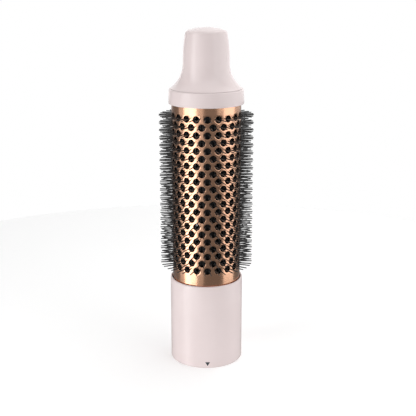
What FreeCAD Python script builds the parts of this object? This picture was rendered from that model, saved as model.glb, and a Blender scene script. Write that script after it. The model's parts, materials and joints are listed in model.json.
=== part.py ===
import FreeCAD, Part
import math
import os
from types import SimpleNamespace

import Sketcher

# Round thermal brush head of a hot air styler, in millimetres and degrees.
# Z is the head's long axis, Z = 0 is the foot of the base sleeve, and the front,
# where the docking mark is, faces -Y.

DIMENSIONS = {
    # base sleeve
    "sleeve_height": 48.8,
    "sleeve_foot_radius": 20.5,
    "sleeve_rim_radius": 20.45,
    "sleeve_bore_radius": 18.2,
    "foot_rounding": 0.5,
    "rim_rounding": 0.75,
    # docking mark on the sleeve
    "mark_size": 1.56,
    "mark_height": 2.9,
    "mark_depth": 0.5,
    "mark_pocket": 2.0,
    # docking socket inside the sleeve
    "socket_foot": 1.0,
    "socket_top": 30.0,
    "socket_radius": 18.15,
    "socket_bore_radius": 16.5,
    "socket_floor": 2.6,
    "slot_radius": 17.4,
    "slot_angle": 14.0,
    "slot_depth": 11.0,
    "lock_angle": 28.0,
    "lock_height": 3.2,
    "bayonet_count": 3,
    "port_radius": 10.2,
    "seal_inner_radius": 14.2,
    "seal_outer_radius": 16.2,
    "seal_height": 1.6,
    "seal_bead": 0.5,
    # bulkheads that hold the barrel, the strips and the core
    "flange_radius": 18.95,
    "flange_height": 4.0,
    "spigot_radius": 18.15,
    "lip_inner_radius": 17.75,
    "strip_seat": 48.0,
    "strip_lip": 53.0,
    "upper_lip": 4.0,
    "core_radius": 16.5,
    "core_wall": 1.1,
    "core_top": 148.5,
    "slip": 0.05,
    "hub_radius": 4.0,
    "hub_height": 6.0,
    "spoke_overlap": 1.0,
    "spoke_width": 2.2,
    "spoke_count": 3,
    # perforated barrel
    "barrel_radius": 19.0,
    "barrel_wall": 0.8,
    "barrel_foot": 34.0,
    "barrel_top": 152.0,
    "hole_radius": 1.9,
    "first_row": 57.45,
    "row_pitch": 4.2,
    "row_count": 21,
    "column_count": 20,
    # bristle strips
    "rail_inner_radius": 16.6,
    "rail_outer_radius": 17.7,
    "rail_width": 1.2,
    "rail_angle": 4.5,
    "pin_angle": 3.8,
    "pin_root_radius": 0.4,
    "pin_tip_radius": 0.28,
    "bristle_radius": 25.95,
    "tie_height": 1.3,
    "tie_thickness": 0.8,
    # air slots in the core and the cone that turns the air outwards
    "air_slot_width": 2.4,
    "air_slot_length": 19.0,
    "air_slot_pitch": 23.0,
    "air_slot_start": 56.0,
    "air_slot_rows": 4,
    "air_slot_columns": 10,
    "cone_tip_height": 60.0,
    "cone_tip_radius": 3.0,
    "cone_top_radius": 13.6,
    "cone_wall": 1.2,
    "cone_nose_rounding": 0.6,
    "cone_solid_length": 13.0,
    # tie rod on the axis
    "rod_radius": 1.5,
    "rod_clearance": 0.1,
    "rod_chamfer": 0.3,
    "rod_foot": 26.4,
    "rod_top": 160.0,
    "nut_radius": 3.1,
    "nut_height": 2.4,
    "washer_radius": 3.6,
    "washer_height": 0.6,
    # gaskets between the hot barrel and the cool plastic
    "gasket_radius": 19.45,
    "gasket_height": 4.5,
    "gasket_setback": 0.5,
    # end collar
    "collar_foot": 147.7,
    "collar_top": 155.65,
    "collar_foot_radius": 20.6,
    "collar_top_radius": 20.4,
    "collar_rounding": 0.85,
    "collar_chamfer": 0.25,
    "collar_seat": 151.5,
    "plug_flange_top": 153.2,
    "web_top": 155.0,
    "web_bore_radius": 7.0,
    "web_outer_radius": 17.0,
    # small screws
    "screw_radius": 1.0,
    "screw_head_radius": 1.6,
    "screw_head_height": 1.3,
    "screw_length": 6.0,
    "screw_hex_radius": 0.75,
    "screw_clearance": 0.15,
    "screw_recess_share": 0.6,
    "pilot_spare": 0.2,
    "socket_screw_circle": 12.4,
    "collar_screw_circle": 12.0,
    "screw_count": 3,
    # swivelling cool tip
    "tip_foot": 155.75,
    "tip_rim_radius": 19.5,
    "tip_neck_radius": 12.65,
    "tip_neck_height": 169.3,
    "tip_shoulder_radius": 11.35,
    "tip_shoulder_height": 184.75,
    "tip_crown_radius": 9.8,
    "tip_crown_edge": 186.55,
    "tip_crown_rounding": 2.3,
    "tip_height": 188.1,
    "tip_wall": 2.0,
    "tip_ceiling": 184.6,
    "hub_outer_radius": 7.2,
    "hub_bore_radius": 5.0,
    "hub_foot": 157.6,
    "hub_bore_top": 178.0,
    "rib_foot": 168.5,
    "rib_reach": 10.9,
    "rib_width": 1.6,
    "rib_overlap": 0.5,
    "rib_count": 4,
    # spindle, bushes and snap ring of the swivel
    "spindle_flange_radius": 6.9,
    "spindle_flange_top": 155.6,
    "spindle_radius": 3.0,
    "spindle_top": 176.8,
    "spindle_chamfer": 0.7,
    "spindle_bore_depth": 7.6,
    "groove_radius": 2.2,
    "groove_foot": 173.3,
    "groove_top": 175.1,
    "running_fit": 0.04,
    "thrust_radius": 5.6,
    "thrust_height": 0.6,
    "bush_gap": 0.3,
    "bush_flange_radius": 6.2,
    "lower_bush_top": 165.0,
    "upper_bush_foot": 166.5,
    "upper_bush_top": 172.6,
    "ring_inner_radius": 2.5,
    "ring_height": 1.0,
    "ring_gap_width": 2.6,
}

FULL_TURN = 360.0
FRONT = -90.0
BACK = 90.0
Z_AXIS = FreeCAD.Vector(0, 0, 1)
ORIGIN = FreeCAD.Vector(0, 0, 0)

document = FreeCAD.newDocument("thermal_brush_head")
sheet = document.addObject("Spreadsheet::Sheet", "dims")
for line, (alias, number) in enumerate(DIMENSIONS.items(), start=1):
    sheet.set(f"A{line}", alias)
    sheet.set(f"B{line}", str(number))
    sheet.setAlias(f"B{line}", alias)
document.recompute()


class Dim:
    """A size that carries both its number and its spreadsheet expression."""

    def __init__(self, number, text=None):
        self.number = float(number)
        self.text = text or repr(self.number)

    def combine(self, other, sign, number):
        return Dim(number, f"({self.text} {sign} {as_dim(other).text})")

    def __add__(self, other):
        return self.combine(other, "+", self.number + as_dim(other).number)

    def __sub__(self, other):
        return self.combine(other, "-", self.number - as_dim(other).number)

    def __mul__(self, other):
        return self.combine(other, "*", self.number * as_dim(other).number)

    def __truediv__(self, other):
        return self.combine(other, "/", self.number / as_dim(other).number)


def as_dim(value):
    return value if isinstance(value, Dim) else Dim(value)


d = SimpleNamespace(**{name: Dim(sheet.get(name), "dims." + name) for name in DIMENSIONS})


def bind(item, **sizes):
    """Tie an object's properties to expressions over the dimension sheet."""
    for prop, size in sizes.items():
        setattr(item, prop, as_dim(size).number)
        item.setExpression(prop, as_dim(size).text)
    return item


def turned_about_z(angle, x=0.0, y=0.0, z=0.0):
    """Placement of a point given beside the +X axis, swung round the Z axis by an angle."""
    turn = FreeCAD.Rotation(Z_AXIS, angle)
    return FreeCAD.Placement(turn.multVec(FreeCAD.Vector(x, y, z)), turn)


# Sketched outlines: a list of corners (radius, height), or (radius, height, bend, side) where the
# edge that leaves the corner is an arc of radius bend with its centre on that side.

LEFT = 1
RIGHT = -1


def arc_between(start, end, bend, side):
    """Circular arc from start to end, always stored counter-clockwise as sketches need."""
    chord = end - start
    half = chord.Length / 2
    rise = math.sqrt(max(bend * bend - half * half, 0.0))
    normal = FreeCAD.Vector(-chord.y, chord.x, 0).normalize()
    centre = (start + end) * 0.5 + normal * (rise * side)
    first, last = (start, end) if side == LEFT else (end, start)
    angles = [math.atan2(point.y - centre.y, point.x - centre.x) for point in (first, last)]
    return Part.ArcOfCircle(Part.Circle(centre, Z_AXIS, bend), angles[0], angles[1])


def pin_coordinate(sketch, kind, geometry, end, size):
    """Fix one coordinate of a sketch point to a sheet expression, or to the axis when it is zero."""
    if size.number == 0:
        axis = -2 if kind == "DistanceX" else -1
        sketch.addConstraint(Sketcher.Constraint("PointOnObject", geometry, end, axis))
        return
    index = sketch.addConstraint(Sketcher.Constraint(kind, -1, 1, geometry, end, size.number))
    sketch.setExpression(f"Constraints[{index}]", size.text)


def draw_outline(sketch, corners):
    """Draw a closed outline whose corners and bends are all bound to the sheet."""
    count = len(corners)
    points = [FreeCAD.Vector(as_dim(c[0]).number, as_dim(c[1]).number, 0) for c in corners]
    start_ends = []
    stop_ends = []
    for index, corner in enumerate(corners):
        following = points[(index + 1) % count]
        if len(corner) == 2:
            sketch.addGeometry(Part.LineSegment(points[index], following), False)
            start_ends.append(1)
            stop_ends.append(2)
            continue
        bend, side = corner[2:]
        sketch.addGeometry(arc_between(points[index], following, bend.number, side), False)
        start_ends.append(1 if side == LEFT else 2)
        stop_ends.append(2 if side == LEFT else 1)
    for index, corner in enumerate(corners):
        after = (index + 1) % count
        sketch.addConstraint(
            Sketcher.Constraint("Coincident", index, stop_ends[index], after, start_ends[after]))
    for index, corner in enumerate(corners):
        pin_coordinate(sketch, "DistanceX", index, start_ends[index], as_dim(corner[0]))
        pin_coordinate(sketch, "DistanceY", index, start_ends[index], as_dim(corner[1]))
        if len(corner) > 2:
            radius = sketch.addConstraint(Sketcher.Constraint("Radius", index, corner[2].number))
            sketch.setExpression(f"Constraints[{radius}]", corner[2].text)


def turned(name, corners):
    """A body revolved about the Z axis from one closed outline in the XZ plane."""
    body = document.addObject("PartDesign::Body", name)
    sketch = body.newObject("Sketcher::SketchObject", name + "_outline")
    planes = body.Origin.OriginFeatures
    sketch.AttachmentSupport = [(next(p for p in planes if p.Role == "XZ_Plane"), "")]
    sketch.MapMode = "FlatFace"
    draw_outline(sketch, corners)
    revolution = body.newObject("PartDesign::Revolution", name + "_turn")
    revolution.Profile = sketch
    revolution.ReferenceAxis = (sketch, ["V_Axis"])
    revolution.Angle = FULL_TURN
    sketch.Visibility = False
    return body


def tube(name, inner, outer, foot, top):
    """A plain turned ring between two radii and two heights."""
    return turned(name, [(inner, foot), (outer, foot), (outer, top), (inner, top)])


def cylinder(name, radius, height, placement, angle=FULL_TURN):
    """A cylinder, or a sector of one, standing on its placement."""
    item = document.addObject("Part::Cylinder", name)
    item.Placement = placement
    return bind(item, Radius=radius, Height=height, Angle=angle)


def prism(name, sides, radius, height, placement):
    """A regular prism given by the radius of the circle through its corners."""
    item = document.addObject("Part::Prism", name)
    item.Placement = placement
    item.Polygon = sides
    return bind(item, Circumradius=radius, Height=height)


def block(name, length, width, height, placement):
    """A rectangular block standing on one corner."""
    item = document.addObject("Part::Box", name)
    item.Placement = placement
    return bind(item, Length=length, Width=width, Height=height)


def cut(name, base, tool):
    item = document.addObject("Part::Cut", name)
    item.Base = base
    item.Tool = tool
    return item


def common(name, base, tool):
    item = document.addObject("Part::Common", name)
    item.Base = base
    item.Tool = tool
    return item


def fused(name, pieces):
    item = document.addObject("Part::MultiFuse", name)
    item.Shapes = pieces
    return item


def group(name, pieces):
    item = document.addObject("Part::Compound", name)
    item.Links = pieces
    return item


def ring_angles(count, first=0.0):
    """Angles of equally spaced features round the axis."""
    total = int(count.number)
    return [first + FULL_TURN * index / total for index in range(total)]


def screw_holes(name, circle, foot, depth, radius):
    """Three drills on a circle, for clearance or pilot holes."""
    drills = []
    for index, angle in enumerate(ring_angles(d.screw_count, first=BACK)):
        place = turned_about_z(angle, x=circle.number, z=foot.number)
        drills.append(cylinder(f"{name}_{index + 1}", radius, depth, place))
    return group(name, drills)


def screw(name, angle, circle, seat, points_up):
    """A small hex-socket screw whose head bears on a seat, pointing up or down from it."""
    flip = FreeCAD.Rotation() if points_up else FreeCAD.Rotation(FreeCAD.Vector(1, 0, 0), 180)
    base = turned_about_z(angle, x=circle.number, z=seat.number)
    place = FreeCAD.Placement(base.Base, flip)
    down = FreeCAD.Vector(0, 0, -d.screw_head_height.number)
    head_place = place.multiply(FreeCAD.Placement(down, FreeCAD.Rotation()))
    head = cylinder(name + "_head", d.screw_head_radius, d.screw_head_height, head_place)
    shank = cylinder(name + "_shank", d.screw_radius, d.screw_length, place)
    recess_depth = d.screw_head_height * d.screw_recess_share
    recess = prism(name + "_recess", 6, d.screw_hex_radius, recess_depth, head_place)
    return cut(name, fused(name + "_blank", [head, shank]), recess)


def screw_set(name, circle, seat, points_up):
    """The identical screws of one joint, kept as separate solids in one part."""
    screws = []
    for index, angle in enumerate(ring_angles(d.screw_count, first=BACK)):
        screws.append(screw(f"{name}_{index + 1}", angle, circle, seat, points_up))
    return group(name, screws)


# Base sleeve and its docking mark

def make_sleeve_and_mark():
    """The plastic sleeve at the foot, with a triangular inlay let into its front."""
    gasket_seat = d.sleeve_height - d.gasket_setback - d.gasket_height
    blank = turned("sleeve_blank", [
        (d.sleeve_bore_radius, 0),
        (d.sleeve_foot_radius - d.foot_rounding, 0, d.foot_rounding, LEFT),
        (d.sleeve_foot_radius, d.foot_rounding),
        (d.sleeve_rim_radius, d.sleeve_height - d.rim_rounding, d.rim_rounding, LEFT),
        (d.sleeve_rim_radius - d.rim_rounding, d.sleeve_height),
        (d.gasket_radius, gasket_seat),
        (d.barrel_radius + d.slip, gasket_seat),
        (d.barrel_radius + d.slip, d.socket_top),
        (d.sleeve_bore_radius, d.socket_top),
    ])
    mark_face = d.sleeve_foot_radius - d.mark_depth
    upright = FreeCAD.Rotation(FreeCAD.Vector(1, 0, 0), 90)
    point_down = FreeCAD.Rotation(Z_AXIS, -90)
    place = FreeCAD.Placement(
        FreeCAD.Vector(0, -mark_face.number, d.mark_height.number), upright * point_down)
    wedge = prism("mark_wedge", 3, d.mark_size, d.mark_pocket, place)
    sleeve = cut("base_sleeve", blank, wedge)
    mark = common("alignment_mark", blank, wedge)
    return [sleeve, mark]


# Docking end: bayonet socket, seal and screws

def make_docking_socket():
    """Black socket that the styler's nozzle slides into and locks by a short turn either way."""
    floor_face = d.socket_top - d.socket_floor
    blank = turned("socket_blank", [
        (d.socket_bore_radius + d.foot_rounding, d.socket_foot),
        (d.socket_radius, d.socket_foot),
        (d.socket_radius, d.socket_top),
        (d.port_radius, d.socket_top),
        (d.port_radius, floor_face),
        (d.seal_outer_radius, floor_face),
        (d.seal_outer_radius, floor_face - d.seal_height),
        (d.socket_bore_radius, floor_face - d.seal_height),
        (d.socket_bore_radius, d.socket_foot + d.foot_rounding),
    ])
    tools = []
    for index, angle in enumerate(ring_angles(d.bayonet_count, first=FRONT)):
        lock_foot = d.socket_foot + d.slot_depth - d.lock_height
        entry_place = turned_about_z(angle - d.slot_angle.number / 2, z=d.socket_foot.number)
        lock_place = turned_about_z(angle - d.lock_angle.number / 2, z=lock_foot.number)
        tools.append(cylinder(
            f"bayonet_entry_{index + 1}", d.slot_radius, d.slot_depth, entry_place, d.slot_angle))
        tools.append(cylinder(
            f"bayonet_lock_{index + 1}", d.slot_radius, d.lock_height, lock_place, d.lock_angle))
    clearance = d.screw_radius + d.screw_clearance
    tools.append(screw_holes(
        "socket_clearance_hole", d.socket_screw_circle, floor_face, d.socket_floor, clearance))
    return cut("docking_socket", blank, fused("socket_cuts", tools))


def make_dock_seal():
    """Silicone ring with a rounded face that the nozzle presses against."""
    top = d.socket_top - d.socket_floor
    foot = top - d.seal_height
    outer = d.seal_outer_radius
    return turned("dock_seal", [
        (d.seal_inner_radius, top),
        (d.seal_inner_radius, foot + d.seal_height / 2),
        (d.seal_inner_radius + d.seal_bead, foot),
        (outer - d.seal_bead, foot),
        (outer, foot + d.seal_height / 2),
        (outer, top),
    ])


# Bulkheads, core and barrel

def make_lower_bulkhead():
    """Heat-proof carrier: flange in the sleeve, spigot in the barrel, spider on the axis."""
    flange_top = d.socket_top + d.flange_height
    core_seat = d.core_radius + d.slip
    carrier = turned("lower_carrier", [
        (d.port_radius, d.socket_top),
        (d.flange_radius, d.socket_top),
        (d.flange_radius, flange_top),
        (d.spigot_radius, flange_top),
        (d.spigot_radius, d.strip_lip),
        (d.lip_inner_radius, d.strip_lip),
        (d.lip_inner_radius, d.strip_seat),
        (core_seat, d.strip_seat),
        (core_seat, flange_top),
        (d.port_radius, flange_top),
    ])
    bottom = turned_about_z(0.0, z=d.socket_top.number)
    pieces = [carrier, cylinder("spider_hub", d.hub_radius, d.hub_height, bottom)]
    for index, angle in enumerate(ring_angles(d.spoke_count, first=FRONT)):
        place = turned_about_z(angle, y=-d.spoke_width.number / 2, z=d.socket_top.number)
        pieces.append(block(f"spider_spoke_{index + 1}", d.port_radius + d.spoke_overlap,
                            d.spoke_width, d.flange_height, place))
    blank = fused("lower_bulkhead_blank", pieces)
    rod_hole = cylinder("lower_rod_hole", d.rod_radius + d.rod_clearance, d.hub_height, bottom)
    pilot_depth = d.screw_length - d.socket_floor + d.pilot_spare
    pilots = screw_holes(
        "socket_pilot_hole", d.socket_screw_circle, d.socket_top, pilot_depth, d.screw_radius)
    return cut("lower_bulkhead", blank, fused("lower_bulkhead_cuts", [rod_hole, pilots]))


def make_core_tube():
    """Inner tube that backs the strips, with long air slots between them."""
    blank = tube("core_blank", d.core_radius - d.core_wall, d.core_radius,
                 d.socket_top + d.flange_height, d.core_top)
    slots = []
    radius = d.core_radius.number - 2 * d.core_wall.number
    for level in range(int(d.air_slot_rows.number)):
        foot = d.air_slot_start.number + level * d.air_slot_pitch.number
        for column, angle in enumerate(ring_angles(d.air_slot_columns)):
            place = turned_about_z(angle, x=radius, y=-d.air_slot_width.number / 2, z=foot)
            slots.append(block(f"air_slot_{level + 1}_{column + 1}", d.core_wall * 3,
                               d.air_slot_width, d.air_slot_length, place))
    return cut("core_tube", blank, group("air_slots", slots))


def make_flow_cone():
    """Hollow cone on the rod that turns the rising air outwards."""
    rod_hole = d.rod_radius + d.rod_clearance
    solid_top = d.cone_tip_height + d.cone_solid_length
    return turned("flow_cone", [
        (rod_hole, d.cone_tip_height),
        (d.cone_tip_radius - d.cone_nose_rounding, d.cone_tip_height),
        (d.cone_tip_radius, d.cone_tip_height + d.cone_nose_rounding),
        (d.cone_top_radius, d.core_top),
        (d.cone_top_radius - d.cone_wall, d.core_top),
        (d.cone_tip_radius, solid_top),
        (rod_hole, solid_top),
    ])


def hole_direction(angle):
    """Outward direction at an angle from the front, turning towards +X."""
    turn = math.radians(angle)
    return FreeCAD.Vector(math.sin(turn), -math.cos(turn), 0)


def make_barrel():
    """Copper-coated barrel with staggered rows of round holes, one per bristle tuft."""
    blank = tube("barrel_blank", d.barrel_radius - d.barrel_wall, d.barrel_radius,
                 d.barrel_foot, d.barrel_top)
    drill_start = d.barrel_radius.number - 2 * d.barrel_wall.number
    drill_length = 3 * d.barrel_wall.number
    pitch_angle = FULL_TURN / d.column_count.number
    drills = []
    for row in range(int(d.row_count.number)):
        height = FreeCAD.Vector(0, 0, d.first_row.number + row * d.row_pitch.number)
        stagger = pitch_angle / 2 if row % 2 else 0.0
        for column in range(int(d.column_count.number)):
            outward = hole_direction(column * pitch_angle + stagger)
            start = outward * drill_start + height
            drills.append(Part.makeCylinder(d.hole_radius.number, drill_length, start, outward))
    holes = document.addObject("Part::Feature", "barrel_holes")
    holes.Shape = Part.makeCompound(drills)
    return cut("barrel", blank, holes)


def make_upper_bulkhead():
    """Heat-proof plug that closes the barrel and traps the strips' upper ends."""
    lip_foot = d.core_top - d.upper_lip
    blank = turned("upper_bulkhead_blank", [
        (d.rod_radius + d.rod_clearance, d.core_top),
        (d.lip_inner_radius, d.core_top),
        (d.lip_inner_radius, lip_foot),
        (d.spigot_radius, lip_foot),
        (d.spigot_radius, d.barrel_top),
        (d.flange_radius, d.barrel_top),
        (d.flange_radius, d.plug_flange_top),
        (d.rod_radius + d.rod_clearance, d.plug_flange_top),
    ])
    pilot_depth = d.screw_length - (d.web_top - d.plug_flange_top) + d.pilot_spare
    pilots = screw_holes("collar_pilot_hole", d.collar_screw_circle,
                         d.plug_flange_top - pilot_depth, pilot_depth, d.screw_radius)
    return cut("upper_bulkhead", blank, pilots)


def make_gaskets():
    """Thin silicone rings that keep the hot barrel off the sleeve and the collar."""
    lower_top = d.sleeve_height - d.gasket_setback
    upper_foot = d.collar_foot + d.gasket_setback
    inner = d.barrel_radius
    outer = d.gasket_radius
    lower = tube("lower_heat_gasket", inner, outer, lower_top - d.gasket_height, lower_top)
    upper = tube("upper_heat_gasket", inner, outer, upper_foot, d.collar_seat)
    return [lower, upper]


# Tie rod

def make_tie_rod():
    """Rod on the axis that clamps the stack between the spider and the spindle."""
    return turned("tie_rod", [
        (0, d.rod_foot),
        (d.rod_radius - d.rod_chamfer, d.rod_foot),
        (d.rod_radius, d.rod_foot + d.rod_chamfer),
        (d.rod_radius, d.rod_top),
        (0, d.rod_top),
    ])


def make_rod_nut_and_washer():
    """Nut and washer under the spider's hub."""
    washer = tube("tie_rod_washer", d.rod_radius + d.rod_clearance, d.washer_radius,
                  d.socket_top - d.washer_height, d.socket_top)
    nut_foot = (d.socket_top - d.washer_height - d.nut_height).number
    place = turned_about_z(0.0, z=nut_foot)
    blank = prism("nut_blank", 6, d.nut_radius, d.nut_height, place)
    thread = cylinder("nut_thread", d.rod_radius, d.nut_height, place)
    return [washer, cut("tie_rod_nut", blank, thread)]


# End collar

def make_end_collar():
    """Plastic collar over the barrel's upper end, with a web that the screws hold."""
    blank = turned("collar_blank", [
        (d.gasket_radius, d.collar_foot),
        (d.collar_foot_radius - d.collar_chamfer, d.collar_foot),
        (d.collar_foot_radius, d.collar_foot + d.collar_chamfer),
        (d.collar_top_radius, d.collar_top - d.collar_rounding, d.collar_rounding, LEFT),
        (d.collar_top_radius - d.collar_rounding, d.collar_top),
        (d.web_outer_radius, d.collar_top),
        (d.web_outer_radius, d.web_top),
        (d.web_bore_radius, d.web_top),
        (d.web_bore_radius, d.plug_flange_top),
        (d.barrel_radius + d.slip, d.plug_flange_top),
        (d.barrel_radius + d.slip, d.collar_seat),
        (d.gasket_radius, d.collar_seat),
    ])
    holes = screw_holes("collar_clearance_hole", d.collar_screw_circle, d.plug_flange_top,
                        d.web_top - d.plug_flange_top, d.screw_radius + d.screw_clearance)
    return cut("end_collar", blank, holes)


# Swivel and cool tip

def make_tip_spindle():
    """Shouldered spindle, screwed on the tie rod, with a groove for the snap ring."""
    bore_top = d.plug_flange_top + d.spindle_bore_depth
    return turned("tip_spindle", [
        (d.rod_radius, d.plug_flange_top),
        (d.spindle_flange_radius, d.plug_flange_top),
        (d.spindle_flange_radius, d.spindle_flange_top),
        (d.spindle_radius, d.spindle_flange_top),
        (d.spindle_radius, d.groove_foot),
        (d.groove_radius, d.groove_foot),
        (d.groove_radius, d.groove_top),
        (d.spindle_radius, d.groove_top),
        (d.spindle_radius, d.spindle_top - d.spindle_chamfer),
        (d.spindle_radius - d.spindle_chamfer, d.spindle_top),
        (0, d.spindle_top),
        (0, bore_top),
        (d.rod_radius, bore_top),
    ])


def make_bearings():
    """Thrust washer on the spindle, and the two bushes pressed into the tip's hub."""
    bore = d.spindle_radius + d.running_fit
    thrust_top = d.spindle_flange_top + d.thrust_height
    washer = tube("thrust_washer", bore, d.thrust_radius, d.spindle_flange_top, thrust_top)
    foot = thrust_top + d.bush_gap
    lower = turned("lower_bush", [
        (bore, foot),
        (d.bush_flange_radius, foot),
        (d.bush_flange_radius, d.hub_foot),
        (d.hub_bore_radius, d.hub_foot),
        (d.hub_bore_radius, d.lower_bush_top),
        (bore, d.lower_bush_top),
    ])
    upper = tube("upper_bush", bore, d.hub_bore_radius, d.upper_bush_foot, d.upper_bush_top)
    return [washer, lower, upper]


def make_snap_ring():
    """Open spring ring in the hub that holds the tip on the spindle's groove."""
    middle = (d.groove_foot + d.groove_top) / 2
    foot = middle - d.ring_height / 2
    blank = tube("snap_ring_blank", d.ring_inner_radius, d.hub_bore_radius - d.slip,
                 foot, middle + d.ring_height / 2)
    place = turned_about_z(BACK, y=-d.ring_gap_width.number / 2, z=foot.number)
    gap = block("snap_ring_gap", d.hub_bore_radius, d.ring_gap_width, d.ring_height, place)
    return cut("snap_ring", blank, gap)


def sweep_radius(reach, rise):
    """Radius of an arc that starts upright and is off by reach after rising by rise."""
    return (rise * rise + reach * reach) / (reach * 2.0)


def make_cool_tip():
    """Bell-shaped tip: flared rim, waisted grip and crowned end, with a ribbed hub inside."""
    flare = sweep_radius(d.tip_rim_radius - d.tip_neck_radius, d.tip_neck_height - d.tip_foot)
    taper = sweep_radius(d.tip_neck_radius - d.tip_shoulder_radius,
                         d.tip_shoulder_height - d.tip_neck_height)
    crown_rise = d.tip_height - d.tip_crown_edge
    crown = sweep_radius(crown_rise, d.tip_crown_radius)
    inner_rim = d.tip_rim_radius - d.tip_wall
    inner_neck = d.tip_neck_radius - d.tip_wall
    inner_shoulder = d.tip_shoulder_radius - d.tip_wall
    inner_flare = sweep_radius(inner_rim - inner_neck, d.tip_neck_height - d.tip_foot)
    inner_taper = sweep_radius(inner_neck - inner_shoulder, d.tip_ceiling - d.tip_neck_height)
    shell = turned("tip_shell", [
        (inner_rim, d.tip_foot),
        (d.tip_rim_radius, d.tip_foot, flare, RIGHT),
        (d.tip_neck_radius, d.tip_neck_height, taper, LEFT),
        (d.tip_shoulder_radius, d.tip_shoulder_height, d.tip_crown_rounding, LEFT),
        (d.tip_crown_radius, d.tip_crown_edge, crown, LEFT),
        (0, d.tip_height),
        (0, d.hub_bore_top),
        (d.hub_bore_radius, d.hub_bore_top),
        (d.hub_bore_radius, d.hub_foot),
        (d.hub_outer_radius, d.hub_foot),
        (d.hub_outer_radius, d.tip_ceiling),
        (inner_shoulder, d.tip_ceiling, inner_taper, RIGHT),
        (inner_neck, d.tip_neck_height, inner_flare, LEFT),
    ])
    pieces = [shell]
    rib_foot = d.hub_outer_radius.number - d.rib_overlap.number
    for index, angle in enumerate(ring_angles(d.rib_count, first=45.0)):
        place = turned_about_z(
            angle, x=rib_foot, y=-d.rib_width.number / 2, z=d.rib_foot.number)
        pieces.append(block(f"tip_rib_{index + 1}", d.rib_reach - rib_foot, d.rib_width,
                            d.tip_ceiling - d.rib_foot, place))
    return fused("cool_tip", pieces)


# Bristle strips

def pin_shape(angle, height):
    """A tapered nylon pin with a rounded tip, standing straight out from its rail."""
    root = (d.rail_inner_radius.number + d.rail_outer_radius.number) / 2
    tip_radius = d.pin_tip_radius.number
    length = d.bristle_radius.number - tip_radius - root
    root_radius = d.pin_root_radius.number
    corners = [
        FreeCAD.Vector(0, 0, 0),
        FreeCAD.Vector(root_radius, 0, 0),
        FreeCAD.Vector(tip_radius, 0, length),
    ]
    dome = math.sqrt(0.5) * tip_radius
    dome_middle = FreeCAD.Vector(dome, 0, length + dome)
    dome_top = FreeCAD.Vector(0, 0, length + tip_radius)
    edges = [
        Part.LineSegment(corners[0], corners[1]).toShape(),
        Part.LineSegment(corners[1], corners[2]).toShape(),
        Part.Arc(corners[2], dome_middle, dome_top).toShape(),
        Part.LineSegment(dome_top, corners[0]).toShape(),
    ]
    pin = Part.Face(Part.Wire(edges)).revolve(ORIGIN, Z_AXIS, FULL_TURN)
    outward = hole_direction(angle)
    place = outward * root + FreeCAD.Vector(0, 0, height)
    pin.Placement = FreeCAD.Placement(place, FreeCAD.Rotation(Z_AXIS, outward))
    return pin


def rail_block(angle, foot, height, width, inner, outer):
    """A straight bar parallel to the axis, centred on an angle from the front."""
    bar = Part.makeBox(width, outer - inner, height, FreeCAD.Vector(-width / 2, -outer, foot))
    bar.rotate(ORIGIN, Z_AXIS, angle)
    return bar


def strip_shape():
    """One ladder of two rails and their ties, with two pins for every hole it serves."""
    inner = d.rail_inner_radius.number
    outer = d.rail_outer_radius.number
    foot = d.strip_seat.number
    height = d.core_top.number - foot
    pitch_angle = FULL_TURN / d.column_count.number
    pieces = []
    for side in (-1, 1):
        rail_angle = side * d.rail_angle.number
        pieces.append(rail_block(rail_angle, foot, height, d.rail_width.number, inner, outer))
    tie_width = 2 * outer * math.sin(math.radians(d.rail_angle.number))
    tie_outer = inner + d.tie_thickness.number
    for row in range(int(d.row_count.number)):
        level = d.first_row.number + row * d.row_pitch.number
        angle = d.pin_angle.number
        if row % 2:
            angle = pitch_angle / 2 - d.pin_angle.number
            tie_foot = level - d.tie_height.number / 2
            pieces.append(
                rail_block(0.0, tie_foot, d.tie_height.number, tie_width, inner, tie_outer))
        pieces.extend(pin_shape(side * angle, level) for side in (-1, 1))
    return pieces[0].multiFuse(pieces[1:]).removeSplitter()


def make_bristle_strips():
    """The identical strips, one for every front-row column of holes."""
    master = strip_shape()
    strips = []
    for index, angle in enumerate(ring_angles(d.column_count)):
        strip = document.addObject("Part::Feature", f"bristle_strip_{index + 1:02d}")
        strip.Shape = master
        strip.Placement = turned_about_z(angle)
        strips.append(strip)
    return strips


def make_parts():
    """Every separate piece of the head, in order from the foot to the tip."""
    parts = make_sleeve_and_mark()
    parts.append(make_docking_socket())
    parts.append(make_dock_seal())
    floor_face = d.socket_top - d.socket_floor
    parts.append(screw_set("socket_screws", d.socket_screw_circle, floor_face, points_up=True))
    parts.append(make_lower_bulkhead())
    parts.append(make_core_tube())
    parts.append(make_flow_cone())
    parts.append(make_barrel())
    parts.extend(make_gaskets())
    parts.append(make_upper_bulkhead())
    parts.append(make_tie_rod())
    parts.extend(make_rod_nut_and_washer())
    parts.append(make_end_collar())
    parts.append(screw_set("collar_screws", d.collar_screw_circle, d.web_top, points_up=False))
    parts.append(make_tip_spindle())
    parts.extend(make_bearings())
    parts.append(make_snap_ring())
    parts.append(make_cool_tip())
    parts.extend(make_bristle_strips())
    return parts


def check(parts):
    """Stop if any feature failed or any part is empty or invalid."""
    for item in document.Objects:
        if "Invalid" in item.State or "Error" in item.State:
            raise RuntimeError(f"{item.Label} did not recompute: {item.State}")
    for part in parts:
        if part.Shape.isNull() or not part.Shape.isValid() or not part.Shape.Solids:
            raise RuntimeError(f"{part.Label} has no valid solid")


subparts = make_parts()
for piece in subparts:
    piece.Label = piece.Name
document.recompute()
check(subparts)

os.makedirs("parts", exist_ok=True)
for piece in subparts:
    piece.Shape.exportStep(f"parts/{piece.Label}.step")
    solids = len(piece.Shape.Solids)
    volume = piece.Shape.Volume
    print(f"{piece.Label}: {solids} solid(s), {volume:.1f} mm3, {len(piece.Shape.Faces)} faces")
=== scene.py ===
import json
import math

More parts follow.
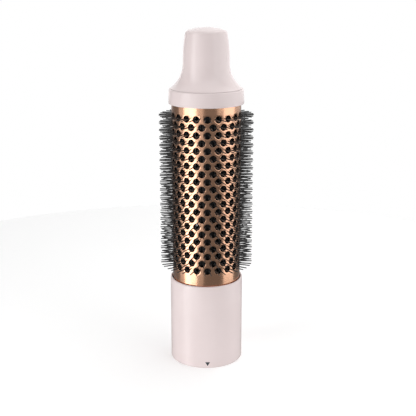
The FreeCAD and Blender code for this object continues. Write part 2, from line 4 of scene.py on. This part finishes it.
import bpy
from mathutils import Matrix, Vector


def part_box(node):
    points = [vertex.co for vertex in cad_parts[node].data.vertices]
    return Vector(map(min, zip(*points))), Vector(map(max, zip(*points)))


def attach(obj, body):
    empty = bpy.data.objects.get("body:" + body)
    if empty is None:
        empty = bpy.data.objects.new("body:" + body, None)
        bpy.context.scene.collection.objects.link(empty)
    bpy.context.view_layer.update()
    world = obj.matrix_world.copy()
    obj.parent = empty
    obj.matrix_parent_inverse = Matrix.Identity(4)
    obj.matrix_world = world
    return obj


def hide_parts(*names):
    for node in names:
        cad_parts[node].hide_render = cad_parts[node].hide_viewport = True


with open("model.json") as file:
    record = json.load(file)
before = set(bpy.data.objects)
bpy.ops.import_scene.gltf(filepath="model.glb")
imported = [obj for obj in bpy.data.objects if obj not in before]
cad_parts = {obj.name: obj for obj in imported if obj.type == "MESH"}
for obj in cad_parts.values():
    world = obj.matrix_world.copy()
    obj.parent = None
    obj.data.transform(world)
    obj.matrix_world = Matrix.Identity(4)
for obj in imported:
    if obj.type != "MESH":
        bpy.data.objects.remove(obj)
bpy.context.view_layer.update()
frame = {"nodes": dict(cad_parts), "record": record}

MM = 0.001
TAU = 2 * math.pi


# Camera and studio

CAMERA_PLACE = (-14.84 * MM, -456.98 * MM, 216.6 * MM)
CAMERA_HEADING = math.radians(1.976)
CAMERA_PITCH = math.radians(15.653)
CAMERA_LENS = 73.18
SENSOR_WIDTH = 36.0

# Softboxes stand on two circles round the object, in steps of a sixteenth of a turn from the
# camera side towards +X. Each has its circle's radius, its first and last step, its foot and top
# in metres, and its radiance. The floor doesn't stop what reaches under it, so that lights the
# object from below, as a glossy table would, and shows in the copper.
STEP_COUNT = 16
FAR = 1.0
NEAR = 0.35
SOFTBOXES = {
    "front_fill": (FAR, -1, 1, 0.0, 1.3, 0.1),
    "rear_wall": (FAR, 5, 9, 0.0, 1.3, 1.0),
    "left_wall": (FAR, 13, 13, -1.1, 1.3, 1.5),
    "right_panel": (NEAR, 2, 4, 0.10, 0.45, 1.3),
    "right_card": (NEAR, 3, 4, -0.08, 0.10, 1.15),
    "left_panel": (NEAR, 13, 14, 0.10, 0.45, 1.2),
    "left_key": (NEAR, 14, 14, -0.08, 0.10, 2.7),
    "left_card": (NEAR, 13, 13, -0.08, 0.03, 1.5),
    "left_edge": (NEAR, 12, 12, -0.08, 0.10, 0.6),
    "left_front_card": (NEAR, 15, 15, -0.08, 0.22, 0.45),
}
TOP_HEIGHT = 1.3
TOP_WIDTH = 1.0
TOP_DEPTH = 2.0
TOP_LEFT_RADIANCE = 0.9
TOP_RIGHT_RADIANCE = 1.4
WORLD_DIFFUSE = 0.01
WORLD_GLOSSY = 0.15
FLOOR_RADIUS = 0.33
FLOOR_SIDES = 96
FLOOR_WHITE = 0.95
FLOOR_GLOW = 0.12


def make_camera():
    data = bpy.data.cameras.new("camera")
    data.lens = CAMERA_LENS
    data.sensor_width = SENSOR_WIDTH
    camera = bpy.data.objects.new("camera", data)
    camera.location = CAMERA_PLACE
    camera.rotation_euler = (math.pi / 2 - CAMERA_PITCH, 0, -CAMERA_HEADING)
    bpy.context.scene.collection.objects.link(camera)
    bpy.context.scene.camera = camera


def area_light(name, place, target, width, height, radiance):
    """A rectangular softbox whose face shines with a given radiance."""
    data = bpy.data.lights.new(name, "AREA")
    data.shape = "RECTANGLE"
    data.size = width
    data.size_y = height
    data.energy = radiance * math.pi * width * height
    light = bpy.data.objects.new(name, data)
    light.location = place
    light.rotation_euler = (Vector(target) - Vector(place)).to_track_quat("-Z", "Y").to_euler()
    light.visible_camera = False
    bpy.context.scene.collection.objects.link(light)


def make_lights():
    """Softboxes round the object and two panels side by side overhead."""
    for name, (distance, first, last, foot, top, radiance) in SOFTBOXES.items():
        width = 2 * distance * math.tan(math.pi / STEP_COUNT)
        middle = (foot + top) / 2
        for step in range(first, last + 1):
            azimuth = TAU * step / STEP_COUNT
            place = (distance * math.sin(azimuth), -distance * math.cos(azimuth), middle)
            area_light(f"{name}_{step}", place, (0, 0, middle), width, top - foot, radiance)
    halves = (("top_left", -TOP_WIDTH / 2, TOP_LEFT_RADIANCE),
              ("top_right", TOP_WIDTH / 2, TOP_RIGHT_RADIANCE))
    for name, across, radiance in halves:
        area_light(name, (across, 0, TOP_HEIGHT), (across, 0, 0), TOP_WIDTH, TOP_DEPTH, radiance)


def make_world():
    """White studio: full white to the camera, softer as light, and dim in reflections."""
    world = bpy.data.worlds.new("studio")
    bpy.context.scene.world = world
    world.use_nodes = True
    nodes = world.node_tree.nodes
    links = world.node_tree.links
    nodes.clear()
    output = nodes.new("ShaderNodeOutputWorld")
    path = nodes.new("ShaderNodeLightPath")
    ambient = nodes.new("ShaderNodeBackground")
    ambient.inputs["Color"].default_value = (1, 1, 1, 1)
    ambient.inputs["Strength"].default_value = WORLD_DIFFUSE
    dim = nodes.new("ShaderNodeBackground")
    dim.inputs["Color"].default_value = (1, 1, 1, 1)
    dim.inputs["Strength"].default_value = WORLD_GLOSSY
    white = nodes.new("ShaderNodeBackground")
    white.inputs["Color"].default_value = (1, 1, 1, 1)
    white.inputs["Strength"].default_value = 1.0
    glossy_mix = nodes.new("ShaderNodeMixShader")
    links.new(path.outputs["Is Glossy Ray"], glossy_mix.inputs["Fac"])
    links.new(ambient.outputs[0], glossy_mix.inputs[1])
    links.new(dim.outputs[0], glossy_mix.inputs[2])
    camera_mix = nodes.new("ShaderNodeMixShader")
    links.new(path.outputs["Is Camera Ray"], camera_mix.inputs["Fac"])
    links.new(glossy_mix.outputs[0], camera_mix.inputs[1])
    links.new(white.outputs[0], camera_mix.inputs[2])
    links.new(camera_mix.outputs[0], output.inputs["Surface"])


def make_floor():
    """Round white table that reflections and light from below pass through."""
    turns = [TAU * k / FLOOR_SIDES for k in range(FLOOR_SIDES)]
    corners = [(FLOOR_RADIUS * math.cos(turn), FLOOR_RADIUS * math.sin(turn), 0) for turn in turns]
    mesh = bpy.data.meshes.new("floor")
    mesh.from_pydata(corners, [], [tuple(range(FLOOR_SIDES))])
    floor = bpy.data.objects.new("floor", mesh)
    floor.visible_glossy = False
    floor.visible_shadow = False
    bpy.context.scene.collection.objects.link(floor)
    material, shader = new_material("floor_white")
    shader.inputs["Base Color"].default_value = (FLOOR_WHITE, FLOOR_WHITE, FLOOR_WHITE, 1)
    shader.inputs["Roughness"].default_value = 1.0
    shader.inputs["Specular IOR Level"].default_value = 0.0
    shader.inputs["Emission Color"].default_value = (1, 1, 1, 1)
    shader.inputs["Emission Strength"].default_value = FLOOR_GLOW
    mesh.materials.append(material)


# Materials

def new_material(name):
    material = bpy.data.materials.new(name)
    material.use_nodes = True
    return material, material.node_tree.nodes["Principled BSDF"]


def join(material, source, target):
    material.node_tree.links.new(source, target)


def scaled_place(material, stretch):
    """The surface point in the part's own frame, stretched by a factor along each axis."""
    nodes = material.node_tree.nodes
    place = nodes.new("ShaderNodeTexCoord")
    mapping = nodes.new("ShaderNodeMapping")
    mapping.inputs["Scale"].default_value = stretch
    join(material, place.outputs["Object"], mapping.inputs["Vector"])
    return mapping.outputs["Vector"]


def noise(material, place, scale, detail, roughness=0.5):
    node = material.node_tree.nodes.new("ShaderNodeTexNoise")
    node.inputs["Scale"].default_value = scale
    node.inputs["Detail"].default_value = detail
    node.inputs["Roughness"].default_value = roughness
    join(material, place, node.inputs["Vector"])
    return node.outputs["Fac"]


def ramp(material, value, start, end, low, high):
    """A value between start and end turned into one between low and high."""
    node = material.node_tree.nodes.new("ShaderNodeMapRange")
    node.inputs["From Min"].default_value = start
    node.inputs["From Max"].default_value = end
    node.inputs["To Min"].default_value = low
    node.inputs["To Max"].default_value = high
    join(material, value, node.inputs["Value"])
    return node.outputs["Result"]


def spread(material, value, low, high):
    """A noise value, centred on a half, turned into a range of numbers."""
    return ramp(material, value, NOISE_LOW, NOISE_HIGH, low, high)


def blend(material, factor, first, second):
    """Mix of two colours; each is a tuple or another node's output."""
    node = material.node_tree.nodes.new("ShaderNodeMix")
    node.data_type = "RGBA"
    join(material, factor, node.inputs["Factor"])
    for socket, colour in ((node.inputs["A"], first), (node.inputs["B"], second)):
        if isinstance(colour, tuple):
            socket.default_value = (*colour, 1)
        else:
            join(material, colour, socket)
    return node.outputs["Result"]


def bumps(material, height, depth, under=None):
    """Relief of a given depth in metres, laid over another relief if there is one."""
    node = material.node_tree.nodes.new("ShaderNodeBump")
    node.inputs["Distance"].default_value = depth
    join(material, height, node.inputs["Height"])
    if under is not None:
        join(material, under, node.inputs["Normal"])
    return node.outputs["Normal"]


# Noise scales are in cycles per metre, and most noise values lie between the low and the high
CLOUD = 28
MOTTLE = 260
GRAIN = 2600
NOISE_LOW = 0.3
NOISE_HIGH = 0.7
AROUND = (1.0, 1.0, 90.0)
EVEN = (1.0, 1.0, 1.0)


def finish(name, dark, light, rough, grain_depth, stretch=EVEN, metallic=0.0, cloud=CLOUD):
    """A surface with cloudy colour, mottled roughness and fine grain."""
    material, shader = new_material(name)
    even = scaled_place(material, EVEN)
    along = scaled_place(material, stretch)
    clouds = noise(material, even, cloud, 3)
    mottle = noise(material, even, MOTTLE, 4)
    tint = spread(material, clouds, 0.0, 1.0)
    join(material, blend(material, tint, dark, light), shader.inputs["Base Color"])
    join(material, spread(material, mottle, *rough), shader.inputs["Roughness"])
    fine_scale = GRAIN if stretch == EVEN else MOTTLE / 4
    fine = noise(material, along, fine_scale, 3, 0.6)
    relief = bumps(material, fine, grain_depth)
    relief = bumps(material, mottle, grain_depth * 2, relief)
    join(material, relief, shader.inputs["Normal"])
    shader.inputs["Metallic"].default_value = metallic
    return material, shader


def pink_plastic():
    """Satin moulded plastic with a faint eroded grain."""
    material, shader = finish("pink_plastic", (0.806, 0.695, 0.688), (0.848, 0.734, 0.728),
                              (0.21, 0.27), 1.5e-6)
    shader.inputs["IOR"].default_value = 1.55
    return material


BARREL_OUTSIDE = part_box("barrel")[1].x
# Depths below the barrel's outer face over which the hole walls fade from copper into painted shade.
HOLE_SHADE_FULL_DEPTH = 0.07 * MM
HOLE_SHADE_START_DEPTH = 0.01 * MM


def copper():
    """Copper-coloured coating brushed round the barrel, with painted shade on the hole walls below the
    outer face.
    """
    material, shader = new_material("copper")
    even = scaled_place(material, EVEN)
    around = scaled_place(material, AROUND)
    clouds = spread(material, noise(material, even, CLOUD, 4), 0.0, 1.0)
    streaks = noise(material, around, MOTTLE / 6, 3, 0.6)
    smudges = noise(material, even, MOTTLE / 2, 4)
    coat = blend(material, clouds, (0.94, 0.515, 0.315), (0.97, 0.54, 0.335))
    streak_tint = spread(material, streaks, 0.0, 0.35)
    coat = blend(material, streak_tint, coat, (0.88, 0.43, 0.245))
    nodes = material.node_tree.nodes
    place = nodes.new("ShaderNodeTexCoord")
    flat = nodes.new("ShaderNodeVectorMath")
    flat.operation = "MULTIPLY"
    flat.inputs[1].default_value = (1, 1, 0)
    join(material, place.outputs["Object"], flat.inputs[0])
    reach = nodes.new("ShaderNodeVectorMath")
    reach.operation = "LENGTH"
    join(material, flat.outputs["Vector"], reach.inputs[0])
    # Painted shade: deeper in the holes the walls get a near-black colour that stands in for the shade
    # inside them, in place of the copper coat.
    unshaded_face = ramp(material, reach.outputs["Value"], BARREL_OUTSIDE - HOLE_SHADE_FULL_DEPTH,
                  BARREL_OUTSIDE - HOLE_SHADE_START_DEPTH, 0.0, 1.0)
    painted_hole_shade = blend(material, clouds, (0.005, 0.003, 0.002), (0.012, 0.008, 0.006))
    join(material, blend(material, unshaded_face, painted_hole_shade, coat), shader.inputs["Base Color"])
    join(material, spread(material, smudges, 0.18, 0.23), shader.inputs["Roughness"])
    relief = bumps(material, streaks, 4e-6)
    relief = bumps(material, smudges, 2e-6, relief)
    join(material, relief, shader.inputs["Normal"])
    shader.inputs["Metallic"].default_value = 1.0
    shader.inputs["Coat Weight"].default_value = 1.0
    shader.inputs["Coat Roughness"].default_value = 0.2
    shader.inputs["Coat IOR"].default_value = 1.6
    return material


def black_nylon():
    """Glossy black bristle nylon."""
    return finish("black_nylon", (0.026, 0.026, 0.027), (0.042, 0.042, 0.043), (0.24, 0.34), 1e-6,
                  cloud=MOTTLE)[0]


def black_plastic():
    """Glass-filled heat-proof plastic."""
    return finish("black_plastic", (0.011, 0.011, 0.012), (0.022, 0.022, 0.023), (0.42, 0.58), 6e-6,
                  cloud=MOTTLE)[0]


def silicone():
    """Matt black silicone rubber."""
    return finish("silicone", (0.024, 0.022, 0.021), (0.040, 0.037, 0.036), (0.52, 0.70), 3e-6,
                  cloud=MOTTLE)[0]


def mark_grey():
    """Dark grey inlay with a slightly uneven matt face."""
    return finish("mark_grey", (0.045, 0.054, 0.060), (0.062, 0.072, 0.080), (0.42, 0.56), 2e-6,
                  cloud=MOTTLE)[0]


def steel():
    """Turned and plated steel, with fine rings left by the tool."""
    return finish("steel", (0.52, 0.52, 0.53), (0.66, 0.66, 0.67), (0.22, 0.36), 3e-6,
                  stretch=AROUND, metallic=1.0)[0]


def white_acetal():
    """White bearing plastic."""
    return finish("white_acetal", (0.76, 0.76, 0.74), (0.84, 0.84, 0.82), (0.34, 0.46), 2e-6)[0]


MATERIALS = {
    "pink_plastic": pink_plastic(), "copper": copper(), "nylon": black_nylon(),
    "black_plastic": black_plastic(), "silicone": silicone(), "mark_grey": mark_grey(),
    "steel": steel(), "white_plastic": white_acetal(),
}


def paint_cad_nodes():
    """Give every CAD node the finish of its material slot."""
    for part in frame["record"]["subparts"]:
        mesh = frame["nodes"][part["node"]].data
        mesh.materials.clear()
        mesh.materials.append(MATERIALS[part["material_slot"]])


# Turned shapes: an outline is a list of (radius, height) corners in millimetres, or
# (radius, height, bend, side) where the edge leaving the corner is an arc with its centre on that side

LEFT = 1
RIGHT = -1
ARC_STEP = math.radians(6)
ROUND_SEGMENTS = 192
SHARP_EDGE = math.radians(35)


def arc_between(start, end, bend, side):
    """Points strictly between two corners on a circular arc."""
    start, end = Vector(start), Vector(end)
    chord = end - start
    rise = math.sqrt(max(bend * bend - (chord.length / 2) ** 2, 0.0))
    normal = Vector((-chord.y, chord.x)).normalized()
    centre = (start + end) / 2 + normal * rise * side
    first = math.atan2(start.y - centre.y, start.x - centre.x)
    sweep = math.atan2(end.y - centre.y, end.x - centre.x) - first
    sweep = (sweep + math.pi) % TAU - math.pi
    steps = max(2, math.ceil(abs(sweep) / ARC_STEP), math.ceil(chord.length / 1.5))
    angles = [first + sweep * k / steps for k in range(1, steps)]
    return [(centre.x + bend * math.cos(a), centre.y + bend * math.sin(a)) for a in angles]


def outline_points(corners):
    points = []
    for index, corner in enumerate(corners):
        points.append(tuple(corner[:2]))
        if len(corner) > 2:
            following = corners[(index + 1) % len(corners)][:2]
            points.extend(arc_between(corner[:2], following, corner[2], corner[3]))
    return points


def on_circle(radius, angle, height):
    """A point given in millimetres by its radius, its angle from the front and its height."""
    return (radius * math.sin(angle) * MM, -radius * math.cos(angle) * MM, height * MM)


def make_piece(name, vertices, faces, material, body, replaced):
    """A smooth-shaded mesh piece that rides on a body and stands for CAD nodes."""
    mesh = bpy.data.meshes.new(name)
    mesh.from_pydata(vertices, [], faces)
    mesh.validate()
    mesh.polygons.foreach_set("use_smooth", [True] * len(mesh.polygons))
    mesh.set_sharp_from_angle(angle=SHARP_EDGE)
    mesh.materials.append(MATERIALS[material])
    piece = bpy.data.objects.new(name, mesh)
    bpy.context.scene.collection.objects.link(piece)
    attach(piece, body)
    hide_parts(*replaced)
    return piece


def lathe(name, corners, material, body, replaced):
    """A closed outline turned about the Z axis, with quads between its rings."""
    points = outline_points(corners)
    vertices = []
    rings = []
    for radius, height in points:
        first = len(vertices)
        if radius == 0:
            vertices.append((0, 0, height * MM))
            rings.append([first] * ROUND_SEGMENTS)
            continue
        turns = [TAU * k / ROUND_SEGMENTS for k in range(ROUND_SEGMENTS)]
        vertices.extend(on_circle(radius, turn, height) for turn in turns)
        rings.append(list(range(first, first + ROUND_SEGMENTS)))
    faces = []
    for index, ring in enumerate(rings):
        above = rings[(index + 1) % len(rings)]
        for k in range(ROUND_SEGMENTS):
            after = (k + 1) % ROUND_SEGMENTS
            corner_ids = [ring[k], ring[after], above[after], above[k]]
            face = list(dict.fromkeys(corner_ids))
            if len(face) > 2:
                faces.append(face)
    return make_piece(name, vertices, faces, material, body, replaced)


# Perforated barrel: a cell of quads round every hole, laid out in staggered rows

BARREL_WALL = 0.8
HOLE_RADIUS = 1.9
HOLE_LIP = 0.14
FIRST_ROW = 57.45
ROW_PITCH = 4.2
ROW_COUNT = 21
COLUMN_COUNT = 20
CELL_EDGE_STEPS = 4
LOWER_BAND_RINGS = (51.0, 48.0)
UPPER_BAND_RINGS = (149.0, 147.0)
BARREL_BODY = "brush_head"


def cell_outline(row, half_pitch):
    """Points round one hole's cell, in millimetres across and up from the hole's centre."""
    junction = (ROW_PITCH ** 2 - half_pitch ** 2) / (2 * ROW_PITCH)
    apex = ROW_PITCH - junction
    upper = apex if row == ROW_COUNT - 1 else junction
    lower = apex if row == 0 else junction
    corners = [(half_pitch, -lower), (half_pitch, upper), (0, apex), (-half_pitch, upper),
               (-half_pitch, -lower), (0, -apex)]
    points = []
    for start, end in zip(corners, corners[1:] + corners[:1]):
        for step in range(CELL_EDGE_STEPS):
            share = step / CELL_EDGE_STEPS
            points.append((start[0] + (end[0] - start[0]) * share,
                           start[1] + (end[1] - start[1]) * share))
    return points


def cell_layers(edge):
    """One line of points from the cell's edge over the hole's lip to the inner surface."""
    length = math.hypot(*edge)
    ray = (edge[0] / length, edge[1] / length)
    rim = HOLE_RADIUS + HOLE_LIP
    bend = HOLE_LIP * (1 - math.sqrt(0.5))
    reaches = [
        (length, 0.0),
        ((length + rim) / 2, 0.0),
        (rim, 0.0),
        (HOLE_RADIUS + bend, bend),
        (HOLE_RADIUS, HOLE_LIP),
        (HOLE_RADIUS, BARREL_WALL),
        (length, BARREL_WALL),
    ]
    return [(ray[0] * reach, ray[1] * reach, depth) for reach, depth in reaches]


def make_barrel():
    low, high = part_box("barrel")
    radius = high.x / MM
    foot, top = low.z / MM, high.z / MM
    pitch_angle = TAU / COLUMN_COUNT
    half_pitch = radius * pitch_angle / 2
    vertices = []
    known = {}
    faces = []

    def vertex(angle, height, depth):
        turns = (angle / TAU) % 1.0
        key = (round(turns * 1e6) % 1000000, round(height * 1e4), round(depth * 1e4))
        if key not in known:
            known[key] = len(vertices)
            vertices.append(on_circle(radius - depth, angle, height))
        return known[key]

    for row in range(ROW_COUNT):
        height = FIRST_ROW + row * ROW_PITCH
        stagger = pitch_angle / 2 if row % 2 else 0.0
        lines = [cell_layers(edge) for edge in cell_outline(row, half_pitch)]
        for column in range(COLUMN_COUNT):
            centre = column * pitch_angle + stagger
            ids = [[vertex(centre + x / radius, height + y, depth) for x, y, depth in line]
                   for line in lines]
            for index, line in enumerate(ids):
                beside = ids[(index + 1) % len(ids)]
                for layer in range(len(line) - 1):
                    faces.append((line[layer], beside[layer], beside[layer + 1], line[layer + 1]))
    apex = (ROW_PITCH ** 2 + half_pitch ** 2) / (2 * ROW_PITCH)
    lower_edge = FIRST_ROW - apex
    upper_edge = FIRST_ROW + (ROW_COUNT - 1) * ROW_PITCH + apex
    lower_rings = [(lower_edge, 0.0), *((height, 0.0) for height in LOWER_BAND_RINGS), (foot, 0.0),
                   (foot, BARREL_WALL), (lower_edge, BARREL_WALL)]
    upper_rings = [(upper_edge, BARREL_WALL), (top, BARREL_WALL), (top, 0.0),
                   *((height, 0.0) for height in UPPER_BAND_RINGS), (upper_edge, 0.0)]
    around = 2 * CELL_EDGE_STEPS * COLUMN_COUNT
    for rings in (lower_rings, upper_rings):
        for (z_one, d_one), (z_two, d_two) in zip(rings, rings[1:]):
            for k in range(around):
                one, two = TAU * k / around, TAU * (k + 1) / around
                faces.append((vertex(one, z_one, d_one), vertex(one, z_two, d_two),
                              vertex(two, z_two, d_two), vertex(two, z_one, d_one)))
    return make_piece("barrel_shell", vertices, faces, "copper", BARREL_BODY, ["barrel"])


# Bristle strips

RAIL_INNER = 16.6
RAIL_OUTER = 17.7
RAIL_WIDTH = 1.2
RAIL_ANGLE = math.radians(4.5)
PIN_ANGLE = math.radians(3.8)
PIN_ROOT_RADIUS = 0.40
PIN_TIP_RADIUS = 0.28
PIN_REACH = 25.95
PIN_SIDES = 10
PIN_BURIED = 0.3
PIN_MIDDLE_RINGS = (20.0, 23.0)
PIN_TIP_TILTS = (30, 55, 78)
TIE_HEIGHT = 1.3
TIE_DEPTH = 0.8


def add_ring_run(vertices, faces, centres, radii, across, up, sides):
    """Rings of vertices along a line of centres, closed at both ends."""
    first = len(vertices)
    for centre, radius in zip(centres, radii):
        for k in range(sides):
            turn = TAU * k / sides
            offset = across * (radius * math.cos(turn)) + up * (radius * math.sin(turn))
            vertices.append(tuple((centre + offset) * MM))
    for ring in range(len(centres) - 1):
        for k in range(sides):
            a = first + ring * sides + k
            b = first + ring * sides + (k + 1) % sides
            faces.append((a, b, b + sides, a + sides))
    faces.append(tuple(range(first + sides - 1, first - 1, -1)))
    last = first + (len(centres) - 1) * sides
    faces.append(tuple(range(last, last + sides)))


def add_pin(vertices, faces, angle, height):
    """A tapered pin with a rounded tip, straight out from the axis."""
    outward = Vector((math.sin(angle), -math.cos(angle), 0))
    across = Vector((math.cos(angle), math.sin(angle), 0))
    up = Vector((0, 0, 1))
    base = up * height
    shoulder = PIN_REACH - PIN_TIP_RADIUS
    reaches = [RAIL_INNER + PIN_BURIED, *PIN_MIDDLE_RINGS, shoulder]
    slope = (PIN_TIP_RADIUS - PIN_ROOT_RADIUS) / (shoulder - reaches[0])
    radii = [PIN_ROOT_RADIUS + slope * (reach - reaches[0]) for reach in reaches]
    for tilt in PIN_TIP_TILTS:
        reaches.append(shoulder + PIN_TIP_RADIUS * math.sin(math.radians(tilt)))
        radii.append(PIN_TIP_RADIUS * math.cos(math.radians(tilt)))
    centres = [base + outward * reach for reach in reaches]
    add_ring_run(vertices, faces, centres, radii, across, up, PIN_SIDES)


def add_bar(vertices, faces, angle, width, inner, outer, foot, top):
    """A straight bar parallel to the axis, facing outwards at an angle."""
    outward = Vector((math.sin(angle), -math.cos(angle), 0))
    across = Vector((math.cos(angle), math.sin(angle), 0)) * (width / 2)
    first = len(vertices)
    for height in (foot, top):
        level = Vector((0, 0, height))
        for side, reach in ((-1, inner), (1, inner), (1, outer), (-1, outer)):
            vertices.append(tuple((outward * reach + across * side + level) * MM))
    box_faces = [(3, 2, 1, 0), (4, 5, 6, 7), (0, 1, 5, 4), (1, 2, 6, 5), (2, 3, 7, 6), (3, 0, 4, 7)]
    faces.extend(tuple(first + corner for corner in face) for face in box_faces)


def make_strip(index):
    """Two rails with their ties, and two pins through each hole that the strip serves."""
    node = f"bristle_strip_{index + 1:02d}"
    low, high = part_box(node)
    pitch_angle = TAU / COLUMN_COUNT
    middle = index * pitch_angle
    vertices = []
    faces = []
    for side in (-1, 1):
        add_bar(vertices, faces, middle + side * RAIL_ANGLE, RAIL_WIDTH, RAIL_INNER, RAIL_OUTER,
                low.z / MM, high.z / MM)
    tie_width = 2 * RAIL_OUTER * math.sin(RAIL_ANGLE)
    for row in range(ROW_COUNT):
        height = FIRST_ROW + row * ROW_PITCH
        swing = PIN_ANGLE
        if row % 2:
            swing = pitch_angle / 2 - PIN_ANGLE
            add_bar(vertices, faces, middle, tie_width, RAIL_INNER, RAIL_INNER + TIE_DEPTH,
                    height - TIE_HEIGHT / 2, height + TIE_HEIGHT / 2)
        for side in (-1, 1):
            add_pin(vertices, faces, middle + side * swing, height)
    make_piece(f"pin_strip_{index + 1:02d}", vertices, faces, "nylon", BARREL_BODY, [node])


# Plastic shells

def sweep_radius(reach, rise):
    """Radius of an arc that starts upright and is off by reach after rising by rise."""
    return (rise * rise + reach * reach) / (reach * 2.0)


def make_cool_tip():
    low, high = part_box("cool_tip")
    foot, top, rim = low.z / MM, high.z / MM, high.x / MM
    wall, neck, neck_height = 2.0, 12.65, 169.3
    shoulder, shoulder_height = 11.35, 184.75
    crown, crown_edge, crown_bend = 9.8, 186.55, 2.3
    ceiling = 184.6
    hub, hub_bore, hub_foot, hub_top = 7.2, 5.0, 157.6, 178.0
    foot_round = 0.1
    lathe("cool_tip_shell", [
        (rim - wall, foot),
        (rim - foot_round, foot, foot_round, LEFT),
        (rim, foot + foot_round, sweep_radius(rim - neck, neck_height - foot - foot_round), RIGHT),
        (neck, neck_height, sweep_radius(neck - shoulder, shoulder_height - neck_height), LEFT),
        (shoulder, shoulder_height, crown_bend, LEFT),
        (crown, crown_edge, sweep_radius(top - crown_edge, crown), LEFT),
        (0, top),
        (0, hub_top),
        (hub_bore, hub_top),
        (hub_bore, hub_foot),
        (hub, hub_foot),
        (hub, ceiling),
        (shoulder - wall, ceiling,
         sweep_radius(neck - shoulder, ceiling - neck_height), RIGHT),
        (neck - wall, neck_height, sweep_radius(rim - neck, neck_height - foot), LEFT),
    ], "pink_plastic", "tip", ["cool_tip"])


def make_end_collar():
    low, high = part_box("end_collar")
    foot, top, outer = low.z / MM, high.z / MM, high.x / MM
    seat, web_foot, web_top = 151.5, 153.2, 155.0
    gasket, barrel, web_outer, web_bore = 19.45, 19.05, 17.0, 7.0
    upper_radius, rounding, foot_round = 20.4, 0.85, 0.25
    lathe("end_collar_ring", [
        (gasket, foot),
        (outer - foot_round, foot, foot_round, LEFT),
        (outer, foot + foot_round),
        (upper_radius, top - rounding, rounding, LEFT),
        (upper_radius - rounding, top),
        (web_outer, top),
        (web_outer, web_top),
        (web_bore, web_top),
        (web_bore, web_foot),
        (barrel, web_foot),
        (barrel, seat),
        (gasket, seat),
    ], "pink_plastic", "brush_head", ["end_collar"])


def make_base_sleeve():
    low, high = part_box("base_sleeve")
    foot, top, outer = low.z / MM, high.z / MM, high.x / MM
    rim, rim_round, foot_round = 20.45, 0.75, 0.5
    gasket, gasket_seat, barrel, step, bore = 19.45, 43.8, 19.05, 30.0, 18.2
    lathe("base_sleeve_shell", [
        (bore, foot),
        (outer - foot_round, foot, foot_round, LEFT),
        (outer, foot + foot_round),
        (rim, top - rim_round, rim_round, LEFT),
        (rim - rim_round, top),
        (gasket, gasket_seat),
        (barrel, gasket_seat),
        (barrel, step),
        (bore, step),
    ], "pink_plastic", "brush_head", ["base_sleeve"])


def make_mark():
    """The docking mark: a thin inlay with its face just proud of the sleeve."""
    low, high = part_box("alignment_mark")
    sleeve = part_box("base_sleeve")[1].x / MM
    half_width = (high.x - low.x) / 2 / MM
    foot, top = low.z / MM, high.z / MM
    proud, depth, steps = 0.03, 0.5, 6
    vertices = []
    faces = []
    for reach in (sleeve - depth, sleeve + proud):
        for level in range(steps + 1):
            share = level / steps
            half = half_width * share
            for column in range(steps + 1):
                across = half * (2 * column / steps - 1)
                height = foot + (top - foot) * share
                vertices.append(on_circle(reach, across / reach, height))
    row = steps + 1
    layer = row * row
    for level in range(steps):
        for column in range(steps):
            a = level * row + column
            faces.append((layer + a, layer + a + 1, layer + a + row + 1, layer + a + row))
            faces.append((a, a + row, a + row + 1, a + 1))
    for level in range(steps):
        left, right = level * row, level * row + steps
        faces.append((left, layer + left, layer + left + row, left + row))
        faces.append((right, right + row, layer + right + row, layer + right))
        crest = steps * row + level
        faces.append((crest, layer + crest, layer + crest + 1, crest + 1))
    make_piece("docking_mark", vertices, faces, "mark_grey", "brush_head", ["alignment_mark"])


bpy.context.scene.view_settings.view_transform = "Standard"
make_camera()
make_world()
make_lights()
make_floor()
paint_cad_nodes()
make_barrel()
for strip_index in range(COLUMN_COUNT):
    make_strip(strip_index)
make_cool_tip()
make_end_collar()
make_base_sleeve()
make_mark()
